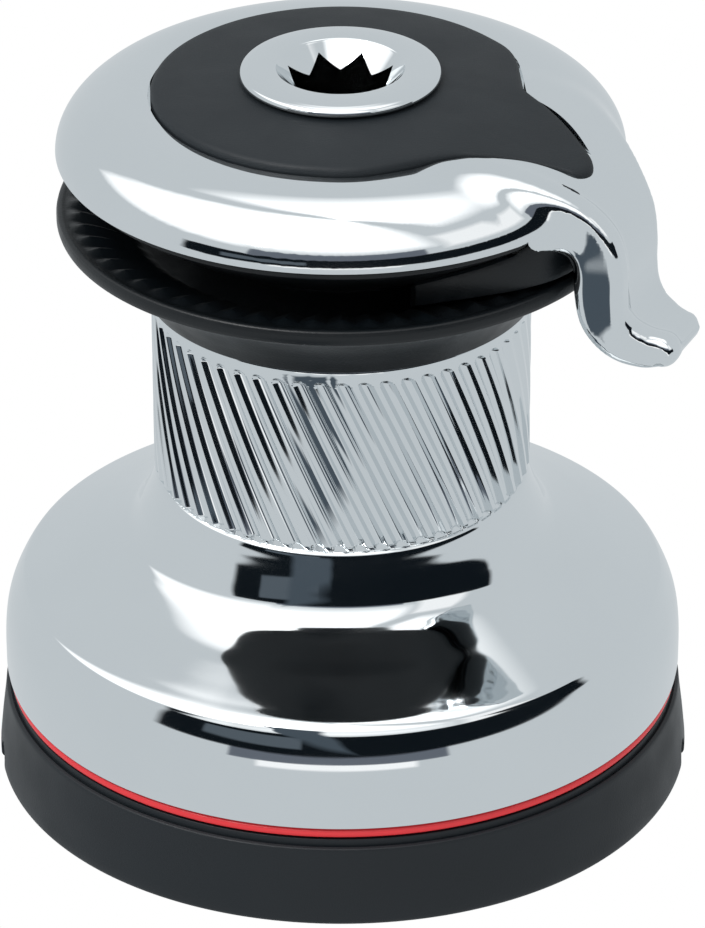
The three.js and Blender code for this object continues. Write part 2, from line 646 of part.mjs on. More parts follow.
addPart("upper_bush", tube(SHAFT_R + 0.15, 16, 98, 110), ACETAL);
addPart("shaft_gear", shaftGear(), STEEL);
addPart("first_speed_gear", firstGear(), BRONZE);
addPart("idler_gear", boredGear(IDLER_TEETH, idlerPhase, idlerAt, IDLER_PIN_R + 0.3, FIRST_Z), BRONZE);
addPart("idler_pin", pin(IDLER_PIN_R, idlerAt), STEEL);
addPart("first_pinion", firstPinion(), BRONZE);
addPart("first_pinion_pin", pin(PIN_R, pinionAt), STEEL);
addPart("ratchet_gear", ratchetGear(), BRONZE);
addPart("second_pinion", secondPinion(), BRONZE);
addPart("second_pinion_pin", pin(PIN_R, secondAt), STEEL);
FIRST_PIVOTS.forEach((a, i) =>
  addPart(`first_pawl_${i + 1}`, pawlSolid(FIRST_PAWL, a, -1, [0, 0], PAWL_Z), STEEL));
SECOND_PIVOTS.forEach((a, i) =>
  addPart(`second_pawl_${i + 1}`, pawlSolid(SECOND_PAWL, a, 1, secondAt, SECOND_PAWL_Z), STEEL));

export default parts;
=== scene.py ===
import json
import math

import bmesh
import bpy
import numpy as np
from mathutils import Matrix, Vector


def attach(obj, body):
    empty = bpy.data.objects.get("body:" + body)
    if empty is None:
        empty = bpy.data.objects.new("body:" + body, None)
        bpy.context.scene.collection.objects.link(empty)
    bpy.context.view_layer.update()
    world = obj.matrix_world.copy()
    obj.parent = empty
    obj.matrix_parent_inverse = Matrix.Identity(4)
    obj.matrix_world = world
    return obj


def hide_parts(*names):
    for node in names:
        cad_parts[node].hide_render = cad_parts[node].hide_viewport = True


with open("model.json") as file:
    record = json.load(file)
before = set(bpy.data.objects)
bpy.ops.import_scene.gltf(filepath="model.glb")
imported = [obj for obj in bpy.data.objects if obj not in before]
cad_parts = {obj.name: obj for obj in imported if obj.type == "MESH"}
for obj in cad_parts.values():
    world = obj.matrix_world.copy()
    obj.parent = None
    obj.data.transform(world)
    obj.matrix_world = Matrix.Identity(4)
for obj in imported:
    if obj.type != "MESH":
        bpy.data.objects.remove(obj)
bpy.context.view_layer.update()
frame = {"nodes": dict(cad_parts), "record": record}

# All lengths below are in millimetres, in the frame's axes, until a mesh is made.
MM = 0.001
DEG = math.pi / 180
ARM_AZIMUTH = -25 * DEG
COVER_AZIMUTH = -32.6 * DEG

# Drum barrel and its ribs
BARREL_R = 41.9
RIB_ROOT_R = 40.6
RIBS = 56
RIB_LOW = 73.2
RIB_HIGH = 114.8
RIB_TWIST = 25 * DEG
RIB_DEPTH = 1.25
GROOVE_HALF = 1.6
DRUM_BORE_R = 36.5
DRUM_TOP = 117.6

# Rope jaws
JAW_RIDGES = 60
JAW_RIDGE_HEIGHT = 1.1
GUIDE_HALF_ANGLE = 46
GUIDE_R = 61.9

# Cap: its flat top reaches CAP_FLAT_R, and then it falls as a quarter ellipse to CAP_R at CAP_LEVEL.
CAP_FLAT_R = 44
CAP_R = 62.1
CAP_LEVEL = 151
CAP_RISE = 12.9
CAP_BORE_R = 22.5
COVER_R = 41.2

# Handle socket and its star of two squares
SOCKET_TOP = 170.3
STAR_TIP_R = 12.35
STAR_WAIST_R = 9.55


# ---------- mesh helpers ----------

def make_piece(name, verts, faces, material, body, replaced, slot, sharp=35):
    """A smooth-shaded mesh piece that stands for CAD nodes and rides on a body."""
    mesh = bpy.data.meshes.new(name)
    mesh.from_pydata([tuple(v) for v in np.asarray(verts, float) * MM], [], faces)
    mesh.validate()
    made = bmesh.new()
    made.from_mesh(mesh)
    bmesh.ops.recalc_face_normals(made, faces=made.faces)
    made.to_mesh(mesh)
    made.free()
    mesh.shade_smooth()
    mesh.set_sharp_from_angle(angle=sharp * DEG)
    piece = bpy.data.objects.new(name, mesh)
    bpy.context.scene.collection.objects.link(piece)
    piece.data.materials.append(material)
    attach(piece, body)
    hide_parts(*replaced)
    return piece


def curve_through(points, steps=8):
    """A smooth open curve through the points (Catmull-Rom)."""
    pts = [np.asarray(p, float) for p in points]
    pts = [2 * pts[0] - pts[1]] + pts + [2 * pts[-1] - pts[-2]]
    line = []
    for a, b, c, d in zip(pts, pts[1:], pts[2:], pts[3:]):
        for t in np.arange(steps) / steps:
            line.append(0.5 * (2 * b + (c - a) * t + (2 * a - 5 * b + 4 * c - d) * t**2
                               + (3 * b - a - 3 * c + d) * t**3))
    return line + [pts[-2]]


def profile_of(*runs):
    """One closed profile from runs of [radius, z]. A run of two is straight, and a longer one is smoothed."""
    line = []
    for run in runs:
        part = curve_through(run) if len(run) > 2 else [np.asarray(p, float) for p in run]
        for point in part:
            if not line or np.linalg.norm(point - line[-1]) > 1e-3:
                line.append(point)
    return line


def revolve(profile, segments=256, radius_of=None, turn_of=None):
    """Vertices and faces of a closed profile turned round Z.

    radius_of(radius, z, angles) may change the radius, and turn_of(z) turns each ring of vertices.
    """
    angles = np.arange(segments) * 2 * math.pi / segments
    verts = []
    for r, z in profile:
        radii = radius_of(r, z, angles) if radius_of else np.full(segments, r)
        placed = angles + (turn_of(z) if turn_of else 0)
        ring = [radii * np.cos(placed), radii * np.sin(placed), np.full(segments, z)]
        verts.append(np.stack(ring, axis=1))
    rows = len(profile)
    faces = []
    for i in range(rows):
        j = (i + 1) % rows
        for k in range(segments):
            m = (k + 1) % segments
            faces.append((i * segments + k, i * segments + m, j * segments + m, j * segments + k))
    return np.concatenate(verts), faces


def cut_with(piece, cutters):
    """Subtracts the cutter meshes from the piece and removes them."""
    for cutter in cutters:
        change = piece.modifiers.new("cut", "BOOLEAN")
        change.operation = "DIFFERENCE"
        change.solver = "EXACT"
        change.object = cutter
        bpy.context.view_layer.objects.active = piece
        with bpy.context.temp_override(object=piece, active_object=piece):
            bpy.ops.object.modifier_apply(modifier=change.name)
        bpy.data.objects.remove(cutter, do_unlink=True)
    piece.data.shade_smooth()
    piece.data.set_sharp_from_angle(angle=35 * DEG)


def plain_mesh(name, verts, faces):
    """A mesh object with no material, for a cutter or a studio patch."""
    mesh = bpy.data.meshes.new(name)
    mesh.from_pydata([tuple(v) for v in np.asarray(verts, float) * MM], [], faces)
    made = bmesh.new()
    made.from_mesh(mesh)
    bmesh.ops.recalc_face_normals(made, faces=made.faces)
    made.to_mesh(mesh)
    made.free()
    cutter = bpy.data.objects.new(name, mesh)
    bpy.context.scene.collection.objects.link(cutter)
    return cutter


def skin_faces(rows, count):
    """Faces between neighbouring rows of vertices, each a closed loop of count vertices."""
    faces = []
    for i in range(rows - 1):
        for k in range(count):
            m = (k + 1) % count
            faces.append((i * count + k, (i + 1) * count + k, (i + 1) * count + m, i * count + m))
    return faces


def capped_faces(rows, count):
    """The same faces, with the first and last row closed."""
    ends = [tuple(range(count)), tuple(range((rows - 1) * count, rows * count))]
    return skin_faces(rows, count) + ends


def prism(name, outline, low, high):
    """A straight prism over an outline of [x, y] points."""
    verts = [(x, y, low) for x, y in outline] + [(x, y, high) for x, y in outline]
    return plain_mesh(name, verts, capped_faces(2, len(outline)))


# ---------- materials ----------

def linear(hex_colour):
    """An sRGB hex colour as linear RGBA."""
    parts = [int(hex_colour[i:i + 2], 16) / 255 for i in (0, 2, 4)]
    return [p / 12.92 if p <= 0.04045 else ((p + 0.055) / 1.055) ** 2.4 for p in parts] + [1]


def add_node(tree, kind, settings=None, **inputs):
    """A shader node with its settings, and each input set to a value or linked from a socket."""
    node = tree.nodes.new(kind)
    for name, value in (settings or {}).items():
        setattr(node, name, value)
    for name, value in inputs.items():
        socket = node.inputs[name.replace("_", " ")]
        if isinstance(value, bpy.types.NodeSocket):
            tree.links.new(value, socket)
        else:
            socket.default_value = value
    return node


def new_material(name):
    """An empty material with its shader, and the object coordinates in millimetres."""
    material = bpy.data.materials.new(name)
    material.use_nodes = True
    tree = material.node_tree
    shader = tree.nodes["Principled BSDF"]
    place = add_node(tree, "ShaderNodeTexCoord").outputs["Object"]
    in_mm = add_node(tree, "ShaderNodeVectorMath", {"operation": "SCALE"}, Vector=place, Scale=1000)
    return material, tree, shader, in_mm.outputs["Vector"]


def speckle(tree, where, size, low, high, detail=3):
    """Noise of the given grain size in mm, spread from low to high."""
    noise = add_node(tree, "ShaderNodeTexNoise", Vector=where, Scale=1 / size, Detail=detail)
    spread = add_node(tree, "ShaderNodeMapRange", Value=noise.outputs["Fac"], From_Min=0.3, From_Max=0.7,
                      To_Min=low, To_Max=high)
    return spread.outputs["Result"]


def shade(tree, shader, where, colour, variation, size, roughness, grain, grain_size):
    """Colour that varies a little, roughness between two values, and a fine bump, grain mm high."""
    amount = speckle(tree, where, size, 0, variation)
    darker = add_node(tree, "ShaderNodeMix", {"data_type": "RGBA", "blend_type": "MULTIPLY"})
    darker.inputs[6].default_value = linear(colour)
    darker.inputs[7].default_value = (0.55, 0.56, 0.58, 1)
    tree.links.new(amount, darker.inputs[0])
    tree.links.new(darker.outputs[2], shader.inputs["Base Color"])
    tree.links.new(speckle(tree, where, size * 0.6, *roughness), shader.inputs["Roughness"])
    height = speckle(tree, where, grain_size, 0, 1)
    bump = add_node(tree, "ShaderNodeBump", Height=height, Distance=grain * MM)
    tree.links.new(bump.outputs["Normal"], shader.inputs["Normal"])


def chrome():
    """Polished chrome plate: nearly a mirror, with faint haze in patches."""
    material, tree, shader, where = new_material("polished_chrome")
    shader.inputs["Metallic"].default_value = 1
    shade(tree, shader, where, "E4E8EA", 0.04, 30, (0.03, 0.065), 0.0005, 2.5)
    return material


def black_nylon():
    """Glass-filled nylon of the rope jaws: satin, with a fine moulded grain."""
    material, tree, shader, where = new_material("black_glass_filled_nylon")
    shader.inputs["Specular IOR Level"].default_value = 0.35
    shade(tree, shader, where, "0A1014", 0.3, 14, (0.3, 0.42), 0.02, 0.5)
    return material


def black_cover():
    """Soft black cover plate: matte with a fine spark-eroded texture."""
    material, tree, shader, where = new_material("matte_black_cover")
    shader.inputs["Specular IOR Level"].default_value = 0.3
    shade(tree, shader, where, "151C21", 0.2, 20, (0.5, 0.6), 0.03, 0.35)
    return material


def base_plastic():
    """Base skirt moulding: black with a blue-grey sheen and a light texture."""
    material, tree, shader, where = new_material("satin_black_base")
    shader.inputs["Specular IOR Level"].default_value = 0.35
    shade(tree, shader, where, "0E161C", 0.2, 25, (0.4, 0.52), 0.02, 0.4)
    return material


def red_plastic():
    """Red trim ring moulding."""
    material, tree, shader, where = new_material("red_trim_plastic")
    shade(tree, shader, where, "CE2029", 0.1, 12, (0.3, 0.4), 0.01, 0.4)
    return material


def turned_metal(name, colour, roughness):
    """A machined metal with fine turning marks."""
    material, tree, shader, where = new_material(name)
    shader.inputs["Metallic"].default_value = 1
    shade(tree, shader, where, colour, 0.25, 8, roughness, 0.01, 0.3)
    return material


def white_acetal():
    """White acetal of the bearing cages and bushes."""
    material, tree, shader, where = new_material("white_acetal")
    shade(tree, shader, where, "E4E0D4", 0.12, 6, (0.35, 0.5), 0.01, 0.5)
    return material


# ---------- base and drum ----------

def base_skirt(material):
    """The black base skirt, with drain notches in its lower edge."""
    profile = profile_of(
        [[71, 0], [77.0, 0]],
        [[77.0, 0], [77.7, 0.3], [78.1, 1.0], [78.2, 2.2], [78.15, 3.4]],
        [[78.15, 3.4], [77.5, 9.5], [76.8, 15], [76.5, 18.0]],
        [[76.5, 18.0], [76.3, 18.5], [75.7, 18.8]],
        [[75.7, 18.8], [75.2, 18.7]],
        [[75.2, 18.7], [75.15, 20.2], [74.7, 20.4]],
        [[74.7, 20.4], [71, 20.4]],
    )
    mesh = revolve(profile)
    piece = make_piece("base_skirt_smooth", *mesh, material, "housing", ["base_skirt"], "black_base")
    arch = [[-3.6, -1], [-3.6, 3.2], [-2.4, 5.2], [0, 6.0], [2.4, 5.2], [3.6, 3.2], [3.6, -1]]
    line = [(68, t, z) for t, z in arch] + [(82, t, z) for t, z in arch]
    cutters = []
    for azimuth in (-8, 60, 125, 188):
        turn = Matrix.Rotation(azimuth * DEG, 3, "Z")
        verts = [tuple(turn @ Vector(v)) for v in line]
        cutters.append(plain_mesh("notch", verts, capped_faces(2, len(arch))))
    cut_with(piece, cutters)


def rib_turn(z):
    """How far the ribs have turned at a height, counted from their tops."""
    return RIB_TWIST * (RIB_HIGH - np.clip(z, RIB_LOW - 1, RIB_HIGH)) / (RIB_HIGH - RIB_LOW)


def ribbed_radius(r, z, angles):
    """The barrel's ribs: grooves with round floors and tops, which run out over the neck at their feet."""
    if r < RIB_ROOT_R - 0.5 or r > 50 or z < RIB_LOW - 0.7 or z > RIB_HIGH + 1:
        return np.full(len(angles), r)
    across = (angles * RIBS / (2 * math.pi) + 0.5) % 1 - 0.5
    pitch = 2 * math.pi * BARREL_R / RIBS
    from_top = max(0.0, GROOVE_HALF - (RIB_HIGH - z))
    away = np.hypot(across * pitch, from_top) / GROOVE_HALF
    groove = RIB_DEPTH * np.clip(1 - away**2, 0, 1) ** 0.8
    crown = 0.1 * np.clip(away - 1, 0, 1) ** 2
    return np.maximum(r - groove - crown, RIB_ROOT_R)


def drum(material):
    """The chrome drum: skirt, shoulder, concave flare and ribbed barrel."""
    barrel = [[BARREL_R, z] for z in np.arange(RIB_LOW + 1.3, RIB_HIGH + 0.8, 0.4)]
    foot = [[RIB_ROOT_R + 0.1 + 1.2 * t, RIB_LOW - 0.6 + 1.6 * t] for t in (0, 0.25, 0.5, 0.75, 1)]
    profile = profile_of(
        [[71.6, 23.3], [75.4, 23.3]],
        [[75.4, 23.3], [76.0, 23.6], [76.2, 24.6]],
        [[76.2, 24.6], [76.2, 31], [75.9, 35.4], [75.3, 38.6], [74.4, 41.2], [73.3, 43.6], [72.3, 45.4],
         [71.2, 46.6], [68.0, 48.2], [64.0, 50.1], [60.0, 52.0], [56.0, 53.9], [52.0, 56.0], [49.5, 57.5],
         [47.5, 59.0], [46.0, 61.0], [44.7, 63.6], [43.4, 66.5], [42.3, 69.4], [41.4, 71.8],
         [RIB_ROOT_R + 0.1, RIB_LOW - 0.6]],
        foot,
        barrel,
        [[BARREL_R, RIB_HIGH + 0.8], [BARREL_R, 117.0]],
        [[BARREL_R, 117.0], [41.7, 117.4], [41.3, DRUM_TOP]],
        [[41.3, DRUM_TOP], [28.4, DRUM_TOP]],
        [[28.4, DRUM_TOP], [28.4, 113]], [[28.4, 113], [DRUM_BORE_R, 113]],
        [[DRUM_BORE_R, 113], [DRUM_BORE_R, 61]], [[DRUM_BORE_R, 61], [40, 57.5]],
        [[40, 57.5], [54, 46]], [[54, 46], [54, 36.3]],
        [[54, 36.3], [58.3, 36.3]], [[58.3, 36.3], [58.3, 23.6]], [[58.3, 23.6], [62, 23.6]],
        [[62, 23.6], [62.5, 45.6]], [[62.5, 45.6], [68, 43.4]], [[68, 43.4], [71.6, 38]],
    )
    mesh = revolve(profile, RIBS * 16, ribbed_radius, rib_turn)
    make_piece("drum_smooth", *mesh, material, "drum", ["drum"], "chrome", sharp=40)


def trim_ring(material):
    """The red ring between the base and the drum's skirt."""
    profile = profile_of(
        [[71.7, 20.9], [74.8, 20.9]],
        [[74.8, 20.9], [75.4, 21.2], [75.6, 21.9], [75.4, 22.6], [74.9, 22.9]],
        [[74.9, 22.9], [71.7, 22.9]],
    )
    mesh = revolve(profile)
    make_piece("trim_ring_smooth", *mesh, material, "drum", ["drum_trim_ring"], "red_plastic")


# ---------- jaws ----------

def ridge_lift(r, angles):
    """How far the radial ridges raise the lower jaw's rope side. They fade out at both ends."""
    share = np.clip((r - 43.5) / 3, 0, 1) * np.clip((60 - r) / 3, 0, 1)
    return JAW_RIDGE_HEIGHT * share * np.abs((angles * JAW_RIDGES / (2 * math.pi)) % 1 * 2 - 1)


def lower_jaw(material):
    """The lower rope jaw: a flared hub with a cup of radial ridges."""
    profile = profile_of(
        [[27.3, 117.9], [42.8, 117.9]],
        [[42.8, 117.9], [43.3, 118.1], [43.6, 118.7]],
        [[43.6, 118.7], [45.0, 121.6], [47.4, 125.4], [51.4, 129.4], [56.6, 132.4], [60.6, 133.7]],
        [[60.6, 133.7], [61.8, 134.3], [62.2, 135.2]],
        [[62.2, 135.2], [62.2, 136.6]],
        [[62.2, 136.6], [61.9, 137.5], [61.1, 137.8], [60.3, 137.6]],
        [[60.3, 137.6], [57, 137.0], [53, 135.8], [48, 133.6], [43, 131.3]],
        [[43, 131.3], [31, 131]], [[31, 131], [31, 151.2]], [[31, 151.2], [27.3, 151.2]],
    )
    verts, faces = revolve(profile, JAW_RIDGES * 8)
    radius = np.hypot(verts[:, 0], verts[:, 1])
    angle = np.arctan2(verts[:, 1], verts[:, 0])
    rope_side = (verts[:, 2] > 131.2) & (verts[:, 2] < 137.65) & (radius > 43.5) & (radius < 60.2)
    rope_side_z = np.interp(radius, [43, 48, 53, 57, 60.3], [131.3, 133.6, 135.8, 137.0, 137.6])
    rope_side &= verts[:, 2] > rope_side_z - 0.4
    verts[rope_side, 2] += ridge_lift(radius[rope_side], angle[rope_side])
    make_piece("lower_jaw_smooth", verts, faces, material, "drum", ["lower_jaw"], "black_plastic")


def upper_jaw(material):
    """The upper rope jaw, which floats up inside the cap."""
    profile = profile_of(
        [[31.3, 137.5], [42, 137.5]],
        [[42, 137.5], [43.5, 138.1], [48, 141.0], [53, 144.4], [56.6, 146.8], [58.6, 148.2]],
        [[58.6, 148.2], [59.3, 148.8], [59.4, 149.6]],
        [[59.4, 149.6], [59.4, 150.4], [59.1, 150.8]],
        [[59.2, 150.8], [44, 150.8]], [[44, 150.8], [43.4, 147.9]], [[43.4, 147.9], [31.3, 147.9]],
    )
    make_piece("upper_jaw_smooth", *revolve(profile), material, "upper_jaw", ["upper_jaw"], "black_plastic")


def rope_guide(material):
    """The black wedge in the groove beside the arm, which lifts the rope out. Its ends sink away."""
    reach = GUIDE_HALF_ANGLE * DEG
    rings = []
    for angle in np.linspace(ARM_AZIMUTH - reach, ARM_AZIMUTH + reach, 72):
        away = max(0.0, abs(angle - ARM_AZIMUTH) / DEG - 12) / (GUIDE_HALF_ANGLE - 12)
        rim = GUIDE_R - 13.5 * away**1.8
        low = np.interp(rim, [45, 48, 53, 57, 60.3], [133.4, 134.8, 137.2, 138.5, 138.9])
        radii = [45, 48, 53, 56.6, 59, 60.5, 62]
        high = np.interp(rim, radii, [138, 140.2, 143.5, 145.8, 147.6, 150.6, 151.6])
        section = [
            (45.0, 133.6), (rim - 1.2, low), (rim - 0.2, low + 0.4), (rim, low + 1.4),
            (rim, (low + high) / 2), (rim, high - 1.2), (rim - 0.3, high - 0.3),
            (rim - 1.2, min(high, 147.4)), (45.0, 137.6),
        ]
        rings.append([(r * math.cos(angle), r * math.sin(angle), z) for r, z in section])
    faces = capped_faces(len(rings), len(rings[0]))
    verts = [v for ring in rings for v in ring]
    make_piece("rope_guide_smooth", verts, faces, material, "housing", ["rope_guide"], "black_plastic")


# ---------- cap, arm and cover ----------

def cover_outline(grow=0.0):
    """The teardrop cover's outline: a round plate with one tip along the feeder arm."""
    waist = [[38.6, 17.6], [44, 15.4], [50, 12.3], [56, 8.4]]
    tip = [[60.4, 5.0], [62.2, 1.4], [61.2, -2.2], [57.5, -3.9]]
    lower = [[50.2, -7.3], [42.5, -12.3], [37.6, -16.6]]
    arc = [[COVER_R * math.cos(a * DEG), COVER_R * math.sin(a * DEG)] for a in range(-50, -306, -15)]
    loop = waist + tip + lower + arc + [[35.0, 19.2]]
    closed = curve_through(loop[-2:] + loop + loop[:2], 6)[12:-12]
    turn = Matrix.Rotation(COVER_AZIMUTH, 2)
    points = [np.array(turn @ Vector(p)) for p in closed]
    if not grow:
        return points
    ends = zip(points[-1:] + points[:-1], points[1:] + points[:1], points)
    out = []
    for before, after, here in ends:
        along = (after - before) / max(np.linalg.norm(after - before), 1e-9)
        out.append(here + grow * np.array([-along[1], along[0]]))
    return out


# The arm's centre line in its own upright plane: distance from the axis, height, half thickness,
# half width, and sideways offset.
ARM_LINE = [
    [36, 155.6, 5.2, 24.0, 0.0],
    [48, 156.0, 5.2, 22.5, -1.0],
    [56, 155.6, 5.2, 19.5, -3.0],
    [62.4, 153.4, 5.4, 16.0, -5.0],
    [66.8, 148.8, 5.7, 13.6, -6.6],
    [68.3, 143.0, 5.8, 12.8, -7.3],
    [68.5, 137.0, 5.8, 12.6, -7.4],
    [69.6, 131.4, 5.6, 12.4, -7.4],
    [72.8, 127.2, 5.2, 11.6, -7.2],
    [77.4, 125.2, 4.5, 10.6, -7.0],
    [81.4, 124.9, 3.7, 9.4, -6.8],
]


def arm_distance(u, t, z):
    """Distance to the arm: a web along its centre line, with a thicker rounded bead at its front edge."""
    line = np.asarray(curve_through(ARM_LINE, 6))
    best = np.full(len(u), 1e9)
    outer = np.zeros(len(u), bool)
    facts = np.zeros((len(u), 3))
    for a, b in zip(line, line[1:]):
        edge = b[:2] - a[:2]
        du, dz = u - a[0], z - a[1]
        along = np.clip((du * edge[0] + dz * edge[1]) / (edge @ edge), 0, 1)
        gap = np.hypot(du - along * edge[0], dz - along * edge[1])
        closer = gap < best
        best = np.where(closer, gap, best)
        outer = np.where(closer, edge[0] * dz - edge[1] * du > 0, outer)
        here = a[2:] + along[:, None] * (b[2:] - a[2:])
        facts = np.where(closer[:, None], here, facts)
    half_thick, half_wide, offset = facts.T
    from_front = t - offset + half_wide
    web = np.clip((from_front - 4.5) / 3.5, 0, 1)
    half_thick = half_thick - np.where(outer, 1.1, 0.4) * web * web * (3 - 2 * web)
    corner = np.minimum(np.where(outer, 2.0, 3.4), half_thick - 0.3)
    side = np.abs(t - offset) - (half_wide - corner)
    depth = best - (half_thick - corner)
    outside = np.hypot(np.maximum(side, 0), np.maximum(depth, 0))
    return outside + np.minimum(np.maximum(side, depth), 0) - corner


def blend_min(a, b, reach):
    """Union of two shapes with a fillet of about reach."""
    share = np.clip(0.5 + 0.5 * (b - a) / reach, 0, 1)
    return b * (1 - share) + a * share - reach * share * (1 - share)


def blend_max(a, b, reach):
    """Intersection of two shapes with a rounded edge."""
    return -blend_min(-a, -b, reach)


def cap_and_arm(points):
    """Signed field of the chrome cap with its feeder arm, in the arm's frame (u, t, z)."""
    u, t, z = points.T
    r = np.hypot(u, t)
    reach = CAP_R - CAP_FLAT_R
    out, rise = np.maximum(r - CAP_FLAT_R, 0) / reach, (z - CAP_LEVEL) / CAP_RISE
    share = np.sqrt(out**2 + rise**2)
    slope = np.sqrt((out / reach) ** 2 + (rise / CAP_RISE) ** 2)
    dome = share * (share - 1) / np.maximum(slope, 1e-9)
    cap = np.maximum(dome, 149.0 - z)
    arm = arm_distance(u, t, z)
    body = blend_min(cap, arm, 8.0)
    return blend_max(body, CAP_BORE_R - r, 0.4)


def surface_of(field, low, high, cell):
    """Mesh of the zero surface of a field: one vertex per crossed cell, then moved onto the surface."""
    axes = [np.arange(a, b + cell, cell) for a, b in zip(low, high)]
    grid = np.stack(np.meshgrid(*axes, indexing="ij"), axis=-1)
    shape = grid.shape[:3]
    values = field(grid.reshape(-1, 3)).reshape(shape)
    total = np.zeros([n - 1 for n in shape] + [3])
    count = np.zeros([n - 1 for n in shape])
    quads = []
    for axis in range(3):
        here = [slice(None)] * 3
        there = [slice(None)] * 3
        here[axis], there[axis] = slice(0, -1), slice(1, None)
        a, b = values[tuple(here)], values[tuple(there)]
        crossed = (a < 0) != (b < 0)
        index = np.argwhere(crossed)
        share = (a / np.where(crossed, a - b, 1))[crossed]
        spot = grid[tuple(index.T)].copy()
        spot[:, axis] += share * cell
        others = [k for k in range(3) if k != axis]
        corner = []
        for da, db in ((0, 0), (1, 0), (1, 1), (0, 1)):
            box = index.copy()
            box[:, others[0]] -= da
            box[:, others[1]] -= db
            np.add.at(total, tuple(box.T), spot)
            np.add.at(count, tuple(box.T), 1)
            corner.append(box)
        quads.append(np.stack(corner, axis=1))
    used = count > 0
    number = np.full(used.shape, -1)
    number[used] = np.arange(used.sum())
    verts = total[used] / count[used][:, None]
    faces = np.concatenate([number[tuple(np.moveaxis(q, -1, 0))] for q in quads])
    for _ in range(3):
        value = field(verts)
        slope = np.stack([(field(verts + e) - field(verts - e)) / 0.02 for e in np.eye(3) * 0.01], axis=1)
        step = value / np.maximum((slope**2).sum(axis=1), 0.2)
        verts = verts - np.clip(step, -0.5, 0.5)[:, None] * slope
    return verts, [tuple(int(i) for i in f) for f in faces]


def stripper_arm(material):
    """The chrome cap and feeder arm as one casting, with the recess for the cover."""
    verts, faces = surface_of(cap_and_arm, (-64.5, -64.5, 108), (88, 64.5, 166), 0.85)
    turn = np.array(Matrix.Rotation(ARM_AZIMUTH, 3, "Z"))
    verts = verts @ turn.T
    piece = make_piece("stripper_arm_smooth", verts, faces, material, "housing", ["stripper_arm"], "chrome")
    recess = [list(p) for p in cover_outline(0.6)]
    hollow = profile_of(
        [[0.01, 90], [62.4, 90]], [[62.4, 90], [62.4, 151.9]],
        [[62.4, 151.9], [61.9, 151.15], [61.2, 150.8], [60.6, 151.2], [60.4, 152]],
        [[60.4, 152], [59.9, 154.2], [58.6, 155.6]],
        [[58.6, 155.6], [50, 157.6], [45, 158.3]], [[45, 158.3], [0.01, 158.3]],
    )
    cut_with(piece, [prism("recess", recess, 161.0, 175), plain_mesh("hollow", *revolve(hollow))])


def cover_top(r):
    """Height of the cover's domed top at a radius."""
    radii = [0, 20, 30, 38, 44, 52, 60, 68]
    return np.interp(r, radii, [167.6, 167.6, 167.0, 166.2, 165.3, 163.6, 161.8, 159.8])


def arm_cover(material):
    """The black teardrop cover: rings of its outline, drawn in over a rolled edge and up the dome."""
    outline = np.asarray(cover_outline())
    rings = []
    rolled_edge = [(1.0, 3.6), (1.0, 1.3), (0.997, 0.75), (0.99, 0.3), (0.978, 0.05)]
    top = [(share, 0.0) for share in (0.965, 0.94, 0.9, 0.82, 0.72, 0.6)]
    for share, drop in rolled_edge + top:
        ring = outline * share
        r = np.hypot(*ring.T)
        rings.append(np.column_stack([ring, cover_top(r) - drop]))
    hole = outline / np.hypot(*outline.T)[:, None] * 19.6
    rings.append(np.column_stack([hole, cover_top(np.hypot(*hole.T))]))
    rings.append(np.column_stack([hole, np.full(len(hole), 161.4)]))
    rings[0][:, 2] = np.minimum(rings[0][:, 2], rings[1][:, 2] - 1.0)
    count = len(outline)
    faces = []
    for i in range(len(rings)):
        j = (i + 1) % len(rings)
        for k in range(count):
            m = (k + 1) % count
            faces.append((i * count + k, i * count + m, j * count + m, j * count + k))
    verts = np.concatenate(rings)
    make_piece("arm_cover_smooth", verts, faces, material, "housing", ["arm_cover"], "black_plastic")


def handle_socket(material):
    """The chrome socket: a proud ring with an eight-point star."""
    profile = profile_of(
        [[0.01, 113.2], [15.6, 113.2]], [[15.6, 113.2], [15.6, 160]], [[15.6, 160], [19.2, 160.6]],
        [[19.2, 160.6], [19.2, 167.9]], [[19.2, 167.9], [21.4, 168.0]],
        [[21.4, 168.0], [21.9, 168.4], [21.9, 169.0], [21.4, 169.7], [20.2, 170.15]],
        [[20.2, 170.15], [14.6, SOCKET_TOP]], [[14.6, SOCKET_TOP], [14.1, 170.15], [13.7, 169.7]],
        [[13.7, 169.7], [9.2, 164.4]], [[9.2, 164.4], [0.01, 164.4]],
    )
    mesh = revolve(profile, 192)
    piece = make_piece("handle_socket_smooth", *mesh, material, "drive", ["handle_socket"], "chrome")
    star = []
    for i in range(8):
        turn = (22.5 + 45 * i) * DEG
        between = turn + 22.5 * DEG
        star.append((STAR_TIP_R * math.cos(turn), STAR_TIP_R * math.sin(turn)))
        star.append((STAR_WAIST_R * math.cos(between), STAR_WAIST_R * math.sin(between)))
    cut_with(piece, [prism("star", star, 124, 180)])


# ---------- camera and studio ----------

def camera():
    """The camera: a long lens in front of the winch, looking down on it."""
    pitch, roll = 28.488 * DEG, -0.208 * DEG
    distance = 1354.2
    aim = Vector((0, 0, 84.7))
    forward = Vector((0, math.cos(pitch), -math.sin(pitch)))
    right = Vector((1, 0, 0))
    up = Vector((0, math.sin(pitch), math.cos(pitch)))
    right_rolled = math.cos(roll) * right + math.sin(roll) * up
    up_rolled = -math.sin(roll) * right + math.cos(roll) * up
    data = bpy.data.cameras.new("camera")
    data.sensor_width = 36
    data.lens = 235.9
    data.shift_x = 0.01164
    data.shift_y = -0.0541
    data.clip_end = 20
    made = bpy.data.objects.new("camera", data)
    place = Matrix((right_rolled, up_rolled, -forward)).transposed().to_4x4()
    place.translation = (aim - forward * distance) * MM
    made.matrix_world = place
    bpy.context.scene.collection.objects.link(made)
    bpy.context.scene.camera = made


